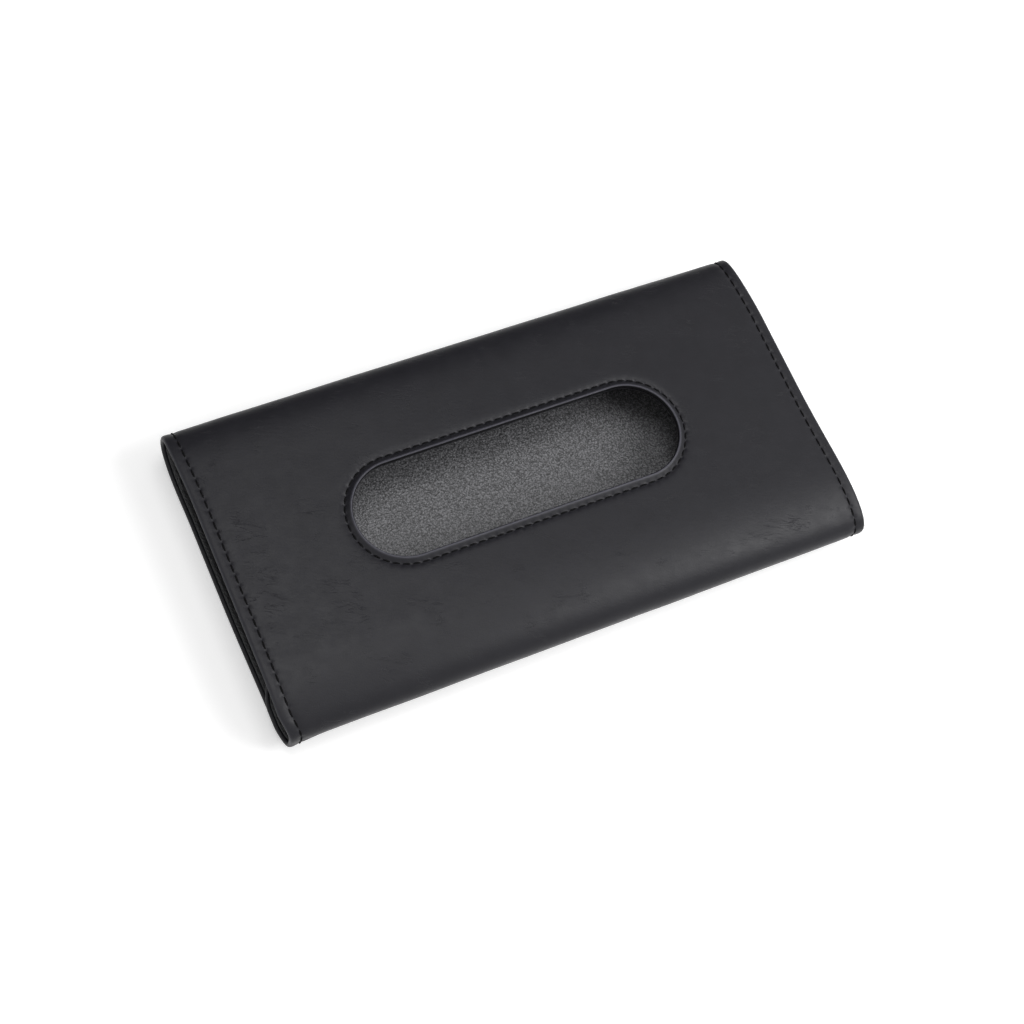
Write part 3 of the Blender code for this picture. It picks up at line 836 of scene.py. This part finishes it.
class Look:
    """A procedural material, built node by node."""

    def __init__(self, name, colour, roughness, **sockets):
        self.material = bpy.data.materials.new(name)
        self.material.use_nodes = True
        self.tree = self.material.node_tree
        self.shader = self.tree.nodes["Principled BSDF"]
        self.shader.inputs["Base Color"].default_value = (*colour, 1)
        self.shader.inputs["Roughness"].default_value = roughness
        for socket, value in sockets.items():
            self.shader.inputs[socket.replace("_", " ")].default_value = value
        self.colour, self.normal = colour, None

    def node(self, kind, sockets, **settings):
        made = self.tree.nodes.new(kind)
        for name, value in settings.items():
            setattr(made, name, value)
        for socket, value in sockets.items():
            if isinstance(value, bpy.types.NodeSocket):
                self.tree.links.new(value, made.inputs[socket])
            else:
                made.inputs[socket].default_value = value
        return made

    def flat(self, turn=0, stretch=(1, 1, 1)):
        """The flat place on the cut piece, turned and stretched for a texture."""
        place = self.node("ShaderNodeAttribute", {}, attribute_name="flat").outputs["Vector"]
        turned = {"Vector": place, "Rotation": (0, 0, turn)}
        turned = self.node("ShaderNodeMapping", turned).outputs["Vector"]
        return self.node("ShaderNodeMapping", {"Vector": turned, "Scale": stretch}).outputs["Vector"]

    def solid(self, stretch=(1, 1, 1)):
        place = self.node("ShaderNodeTexCoord", {}).outputs["Object"]
        return self.node("ShaderNodeMapping", {"Vector": place, "Scale": stretch}).outputs["Vector"]

    def noise(self, place, width, detail=2, rough=0.5, distortion=0):
        sockets = {"Vector": place, "Scale": 1 / width, "Detail": detail, "Roughness": rough}
        return self.node("ShaderNodeTexNoise", {**sockets, "Distortion": distortion}).outputs["Fac"]

    def cells(self, place, width, feature="F1"):
        sockets = {"Vector": place, "Scale": 1 / width}
        return self.node("ShaderNodeTexVoronoi", sockets, feature=feature).outputs["Distance"]

    def between(self, value, low, high, to_low=0, to_high=1):
        sockets = {"Value": value, "From Min": low, "From Max": high, "To Min": to_low, "To Max": to_high}
        return self.node("ShaderNodeMapRange", sockets).outputs["Result"]

    def calc(self, operation, first, second=0):
        return self.node("ShaderNodeMath", {0: first, 1: second}, operation=operation).outputs["Value"]

    def bump(self, height, distance):
        sockets = {"Height": height, "Distance": distance, "Strength": 1.0}
        if self.normal:
            sockets["Normal"] = self.normal
        self.normal = self.node("ShaderNodeBump", sockets).outputs["Normal"]
        self.tree.links.new(self.normal, self.shader.inputs["Normal"])

    def amount(self, name):
        return self.node("ShaderNodeAttribute", {}, attribute_name=name).outputs["Fac"]

    def shade(self, amount, light):
        """Turns the colour towards a lighter or darker one, a number of times as light, by an amount."""
        mix = self.node("ShaderNodeMix", {"Factor": amount}, data_type="RGBA")
        first, second = [socket for socket in mix.inputs if socket.type == "RGBA"]
        first.default_value = (*self.colour, 1)
        second.default_value = (*[c * light for c in self.colour], 1)
        result = [socket for socket in mix.outputs if socket.type == "RGBA"][0]
        self.tree.links.new(result, self.shader.inputs["Base Color"])

    def rough(self, value):
        self.tree.links.new(value, self.shader.inputs["Roughness"])


# leather: its colour is its darkest tone, and shading brings it up to so many times as light
LEATHER_COLOUR, LEATHER_LIGHT = (0.0034, 0.00335, 0.0041), 22
# the middle value scales the leather's painted highlights and painted rim shade
LEATHER_TONES, LEATHER_PAINTED_LIGHT, LEATHER_ROUGH = (0.115, 0.19), 0.8, (0.36, 0.48)
BLOTCH, SHEEN = 11 * MM, 5 * MM
PORE, PORE_DEPTH = 0.55 * MM, 0.012 * MM
WRINKLE, WRINKLE_DEPTH = 1.1 * MM, 0.035 * MM
CREASE, CREASE_DEPTH, CREASE_LINE = 3.2 * MM, 0.045 * MM, 0.022
CREASED_PATCH, CREASED_SPAN = 12 * MM, (0.5, 0.66)
# the creases lie level in the photograph, which is this turn on the cut piece
WRINKLE_TURN, WRINKLE_STRETCH = math.radians(-24), (0.3, 1, 1)

# lining: its colour is its lightest tone, and shading takes it down to a share of that
# the last value scales the painted shade towards the lining's hems
LINING_COLOUR, LINING_DARK, LINING_HEM_SHADE = (0.21, 0.21, 0.222), 0.15, 1.1
PEBBLE, PEBBLE_DEPTH, PEBBLE_SPAN, PEBBLE_DARK = 0.7 * MM, 0.2 * MM, (0.15, 0.55), 0.5
GRAIN, GRAIN_DEPTH, GRAIN_SPAN, GRAIN_DARK = 0.44 * MM, 0.1 * MM, (0.38, 0.62), 0.8

# the other materials' fine structure
PLY, PLY_DEPTH, PLY_TURN, PLY_STRETCH = 0.16 * MM, 0.05 * MM, 0.6, (1, 0.3, 1)
WEFT, WEFT_DEPTH = 0.9 * MM, 0.05 * MM
FUZZ, FUZZ_DEPTH, FUZZ_STRETCH = 0.5 * MM, 0.06 * MM, (3, 1, 1)
FIBRE, FIBRE_DEPTH, FIBRE_STRETCH = 1.4 * MM, 0.05 * MM, (1, 3, 1)
FOAM_PORE, FOAM_PORE_DEPTH, FOAM_PORE_SPAN = 0.5 * MM, 0.15 * MM, (0.2, 0.5)
BRUSHED, BRUSHED_STRETCH, BRUSHED_ROUGH = 0.8 * MM, (1, 12, 1), (0.24, 0.4)
THREAD_PATCH, ELASTIC_PATCH, PLATED_PATCH = 3 * MM, 1.2 * MM, 3 * MM

# of the textures: the values that a noise mostly takes, its middle, and a wave's length at a scale of 1
NOISE_SPAN, NOISE_MIDDLE, WAVE_LENGTH = (0.3, 0.7), 0.5, 0.314


def leather_look():
    """Smooth matt leather-cloth: fine pores, faint wrinkles and a few short creases, with painted highlights
    along its edges and the slot's rim and painted shade just inside the slot's edge.
    """
    look = Look("leather", LEATHER_COLOUR, roughness=0.42, Specular_IOR_Level=0.19)
    flat = look.flat()
    streaks = look.flat(WRINKLE_TURN, WRINKLE_STRETCH)
    look.bump(look.cells(flat, PORE), PORE_DEPTH)
    look.bump(look.noise(streaks, WRINKLE, detail=5, rough=0.62, distortion=0.4), WRINKLE_DEPTH)
    field = look.noise(streaks, CREASE, detail=3, rough=0.55, distortion=1.1)
    off_middle = look.calc("ABSOLUTE", look.calc("SUBTRACT", field, NOISE_MIDDLE))
    line = look.between(off_middle, 0, CREASE_LINE, 1, 0)
    sparse = look.between(look.noise(flat, CREASED_PATCH), *CREASED_SPAN)
    look.bump(look.calc("MULTIPLY", line, sparse), -CREASE_DEPTH)
    uneven = look.between(look.noise(flat, BLOTCH, detail=5, rough=0.6), 0, 1, *LEATHER_TONES)
    # painted highlights along the edges and rim, and painted shade inside the slot's edge, added to the
    # leather's tone
    painted_edge_light = look.calc("MULTIPLY", look.amount("painted_light"), LEATHER_PAINTED_LIGHT)
    look.shade(look.calc("ADD", uneven, painted_edge_light), LEATHER_LIGHT)
    look.rough(look.between(look.noise(flat, SHEEN, detail=5, rough=0.65), *NOISE_SPAN, *LEATHER_ROUGH))
    return look.material


def lining_look():
    """Coarse pebble-grained cloth with a slight shine on its grains; the hollows between its pebbles and
    grains are painted darker, painted shade along with the grain's own tone, and painted shade darkens it
    towards its hems.
    """
    look = Look("lining", LINING_COLOUR, roughness=0.4, Specular_IOR_Level=0.4)
    flat = look.flat()
    pebbles = look.cells(flat, PEBBLE, "SMOOTH_F1")
    look.bump(pebbles, -PEBBLE_DEPTH)
    grains = look.noise(flat, GRAIN, detail=3, rough=0.65)
    look.bump(grains, GRAIN_DEPTH)
    # the hollows between pebbles and grains painted darker: painted shade along with the grain's own tone
    pebbled = look.between(pebbles, *PEBBLE_SPAN, 0, PEBBLE_DARK)
    dark = look.calc("ADD", pebbled, look.between(grains, *GRAIN_SPAN, GRAIN_DARK, 0))
    # painted shade towards the lining's hems
    hem = look.calc("MULTIPLY", look.amount("painted_hem_shade"), LINING_HEM_SHADE)
    look.shade(look.calc("ADD", dark, hem), LINING_DARK)
    return look.material


def thread_look():
    look = Look("thread", (0.004, 0.004, 0.0043), roughness=0.75, Specular_IOR_Level=0.06)
    look.bump(look.noise(look.flat(PLY_TURN, PLY_STRETCH), PLY), PLY_DEPTH)
    look.shade(look.noise(look.flat(), THREAD_PATCH), light=1.8)
    return look.material


def elastic_look():
    """Woven elastic: short weft floats across ribs that the mesh has."""
    look = Look("elastic", (0.014, 0.014, 0.015), roughness=0.75, Specular_IOR_Level=0.25)
    sockets = {"Vector": look.flat(), "Scale": WAVE_LENGTH / WEFT}
    weft = look.node("ShaderNodeTexWave", sockets, bands_direction="Y")
    look.bump(weft.outputs["Fac"], WEFT_DEPTH)
    look.bump(look.noise(look.flat(0, FUZZ_STRETCH), FUZZ, detail=3), FUZZ_DEPTH)
    look.shade(look.noise(look.flat(), ELASTIC_PATCH, detail=3), light=1.9)
    return look.material


def board_look():
    look = Look("board", (0.2, 0.19, 0.175), roughness=0.9, Specular_IOR_Level=0.2)
    fibres = look.noise(look.solid(FIBRE_STRETCH), FIBRE, detail=5, rough=0.7)
    look.bump(fibres, FIBRE_DEPTH)
    look.shade(fibres, light=0.7)
    return look.material


def foam_look():
    look = Look("foam", (0.05, 0.05, 0.05), roughness=0.95, Specular_IOR_Level=0.15)
    pores = look.cells(look.flat(), FOAM_PORE)
    look.bump(pores, FOAM_PORE_DEPTH)
    look.shade(look.between(pores, *FOAM_PORE_SPAN), light=0.6)
    return look.material


def plated_look():
    look = Look("plated", (0.56, 0.56, 0.57), roughness=0.3, Metallic=1.0)
    brushed = look.noise(look.solid(BRUSHED_STRETCH), BRUSHED, detail=4, rough=0.7)
    look.rough(look.between(brushed, *NOISE_SPAN, *BRUSHED_ROUGH))
    look.shade(look.noise(look.solid(), PLATED_PATCH, detail=4), light=0.8)
    return look.material


def ride_and_stand_for(piece, body, slot, *nodes):
    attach(piece, body)
    if nodes:
        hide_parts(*nodes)


def bend_and_stand_for(piece, slot, *nodes):
    """Applies the piece's placement and hides the imported nodes that it stands for; the piece lies on the
    far fold, between the back and the cover.
    """
    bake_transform(piece)
    if nodes:
        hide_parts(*nodes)


def make_skins(look):
    """The outer leather in three pieces, and the strip round the slot's edge."""
    cover = skin("cover_skin", Panel(COVER_SEAM, SECTION.high, None, LIP_CORNER), [SLOT], look)
    back = skin("back_skin", Panel(SECTION.low, BACK_SEAM, FREE_CORNER, None), SLITS, look)
    fold = skin("far_fold_skin", Panel(BACK_SEAM, COVER_SEAM), [], look)
    ride_and_stand_for(cover, "cover", "leather", "front_leather")
    ride_and_stand_for(back, "back", "leather", "back_leather")
    bend_and_stand_for(fold, "leather")
    ride_and_stand_for(facing("slot_rim", look), "cover", "leather", "slot_facing")


def make_linings(look):
    half = HALF - LINING_INSET
    cover_end, free_end = SECTION.high - LINING_FREE_INSET, SECTION.low + LINING_FREE_INSET
    lip_corner, free_corner = LIP_CORNER - LINING_INSET, FREE_CORNER - LINING_INSET
    cover = lining("cover_lining", Panel(COVER_SEAM, cover_end, None, lip_corner, half), look, SLOT)
    pocket = lining("pocket_lining", Panel(free_end, BACK_SEAM, free_corner, None, half), look)
    fold = lining("far_fold_lining", Panel(BACK_SEAM, COVER_SEAM, half=half), look)
    ride_and_stand_for(cover, "cover", "lining", "front_lining")
    ride_and_stand_for(pocket, "back", "lining", "back_lining")
    bend_and_stand_for(fold, "lining")


def make_padding(look):
    edge_y = COVER_HIGH.y - BOARD_FOLD_INSET
    lip_s = SECTION.high - LIP_DEPTH - SEAT_GAP
    near = padding("near_fold_padding", SECTION.cover_s(-edge_y) + SEAT_GAP, lip_s, look)
    ends = SECTION.back_s(edge_y) + SEAT_GAP, SECTION.cover_s(edge_y) - SEAT_GAP
    far = padding("far_fold_padding", *ends, look)
    ride_and_stand_for(near, "cover", "foam", "near_fold_foam")
    bend_and_stand_for(far, "foam", "far_fold_foam_upper", "far_fold_foam_lower")


def make_seams(look):
    """The thread, parted where the skins are."""
    parts = {"back": [], "fold": [], "cover": []}
    for one in all_stitches():
        s = (one[0][1] + one[1][1]) / 2
        parts["cover" if s > COVER_SEAM else "back" if s < BACK_SEAM else "fold"].append(one)
    ride_and_stand_for(seam("cover_stitches", parts["cover"], look), "cover", "elastic")
    ride_and_stand_for(seam("back_stitches", parts["back"], look), "back", "elastic")
    bend_and_stand_for(seam("far_fold_stitches", parts["fold"], look), "elastic")


def make_straps(look):
    for side, x in (("left", -STRAP_X), ("right", STRAP_X)):
        ride_and_stand_for(strap(f"woven_strap_{side}", x, look), "back", "elastic", f"strap_{side}")


def dress_hidden_parts():
    """Materials of the stiffeners, magnets and keepers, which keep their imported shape."""
    looks = dict.fromkeys(("front_board", "back_board", "lip_board"), board_look())
    plated = [f"{kind}_{side}" for kind in ("lip_magnet", "keeper") for side in ("left", "right")]
    looks.update(dict.fromkeys(plated, plated_look()))
    for name, look in looks.items():
        node = frame["nodes"][name]
        node.data.materials.clear()
        node.data.materials.append(look)


# camera, fitted to the photograph
VIEW_AZIMUTH, VIEW_ELEVATION, VIEW_ROLL = (math.radians(a) for a in (-47.641, 65.093, 25.764))
EYE = Vector((-0.2332, -0.2145, 0.649 + COVER_HIGH.z))
FOCAL, SENSOR, NEAREST = 70.643, 36, 0.01


def make_camera():
    back = Vector((
        math.sin(VIEW_AZIMUTH) * math.cos(VIEW_ELEVATION),
        -math.cos(VIEW_AZIMUTH) * math.cos(VIEW_ELEVATION),
        math.sin(VIEW_ELEVATION),
    ))
    right = Vector((math.cos(VIEW_AZIMUTH), math.sin(VIEW_AZIMUTH), 0))
    up = back.cross(right)
    across = right * math.cos(VIEW_ROLL) + up * math.sin(VIEW_ROLL)
    upward = up * math.cos(VIEW_ROLL) - right * math.sin(VIEW_ROLL)
    data = bpy.data.cameras.new("camera")
    data.lens, data.sensor_width = FOCAL, SENSOR
    data.clip_start = NEAREST
    camera = placed("camera", data)
    camera.matrix_world = Matrix.Translation(EYE) @ Matrix((across, upward, back)).transposed().to_4x4()
    bpy.context.scene.camera = camera


# light: a dim white room and soft lamps, each with its way from the object, distance, size and watts
ROOM = 0.42
FLOOR_COLOUR = 0.8
FLOOR_LIFT = 0.42
FLOOR_HALF = 4.0
FLAG_COLOUR, FLAG_Y = 0.02, 0.62
FLAG_LOW, FLAG_HIGH = (-0.9, 0.06), (0.6, 2.3)
LAMPS = {
    "overhead": ((-0.04, 0.14, 0.97), 1.0, 0.5, 3.5),
    "near_right": ((0.56, -0.37, 0.75), 0.8, 0.42, 4.0),
    "left": ((-0.85, 0.05, 0.5), 1.0, 0.5, 0.3),
}


def seen_rays(tree):
    """A value that is 1 for rays that show the surroundings: camera, glossy and transmitted ones."""
    path = tree.nodes.new("ShaderNodeLightPath")
    total = path.outputs["Is Camera Ray"]
    for name in ("Is Glossy Ray", "Is Transmission Ray"):
        add = tree.nodes.new("ShaderNodeMath")
        add.operation, add.use_clamp = "ADD", True
        tree.links.new(total, add.inputs[0])
        tree.links.new(path.outputs[name], add.inputs[1])
        total = add.outputs["Value"]
    return total


def make_world():
    world = bpy.data.worlds.new("studio")
    bpy.context.scene.world = world
    world.use_nodes = True
    tree = world.node_tree
    lit = tree.nodes["Background"]
    lit.inputs["Strength"].default_value = ROOM
    lit.inputs["Color"].default_value = (1, 1, 1, 1)
    seen = tree.nodes.new("ShaderNodeBackground")
    seen.inputs["Color"].default_value = (1, 1, 1, 1)
    mix = tree.nodes.new("ShaderNodeMixShader")
    tree.links.new(seen_rays(tree), mix.inputs["Fac"])
    tree.links.new(lit.outputs["Background"], mix.inputs[1])
    tree.links.new(seen.outputs["Background"], mix.inputs[2])
    tree.links.new(mix.outputs["Shader"], tree.nodes["World Output"].inputs["Surface"])


def card(name, corners, look):
    """A flat four-cornered piece of the surroundings."""
    mesh = bpy.data.meshes.new(name)
    mesh.from_pydata(corners, [], [(0, 1, 2, 3)])
    mesh.materials.append(look.material)
    return placed(name, mesh)


def make_floor():
    """A pale floor that is white to the camera and keeps the object's shadow."""
    look = Look("floor", (FLOOR_COLOUR,) * 3, roughness=1.0, Specular_IOR_Level=0.0)
    level = look.calc("MULTIPLY", seen_rays(look.tree), FLOOR_LIFT)
    glow = look.node("ShaderNodeEmission", {"Strength": level}).outputs["Emission"]
    both = look.node("ShaderNodeAddShader", {0: look.shader.outputs["BSDF"], 1: glow})
    look.tree.links.new(both.outputs["Shader"], look.tree.nodes["Material Output"].inputs["Surface"])
    corners = [(x * FLOOR_HALF, y * FLOOR_HALF, 0) for x, y in ((-1, -1), (1, -1), (1, 1), (-1, 1))]
    floor = card("floor", corners, look)


def make_flag():
    """A black card beyond the far side, out of the picture, that keeps the far fold from shining."""
    look = Look("flag", (FLAG_COLOUR,) * 3, roughness=1.0, Specular_IOR_Level=0.0)
    (low_x, low_z), (high_x, high_z) = FLAG_LOW, FLAG_HIGH
    corners = [(low_x, low_z), (high_x, low_z), (high_x, high_z), (low_x, high_z)]
    flag = card("flag", [(x, FLAG_Y, z) for x, z in corners], look)
    flag.visible_camera = False


def make_lamps():
    for name, (way, distance, size, strength) in LAMPS.items():
        data = bpy.data.lights.new(name, "AREA")
        data.energy, data.size = strength, size
        lamp = placed(name, data)
        lamp.location = Vector(way).normalized() * distance
        lamp.rotation_euler = lamp.location.to_track_quat("Z", "Y").to_euler()


make_camera()
make_world()
make_floor()
make_flag()
make_lamps()
make_skins(leather_look())
make_linings(lining_look())
make_padding(foam_look())
make_seams(thread_look())
make_straps(elastic_look())
dress_hidden_parts()
bpy.context.scene.view_settings.view_transform = "Standard"
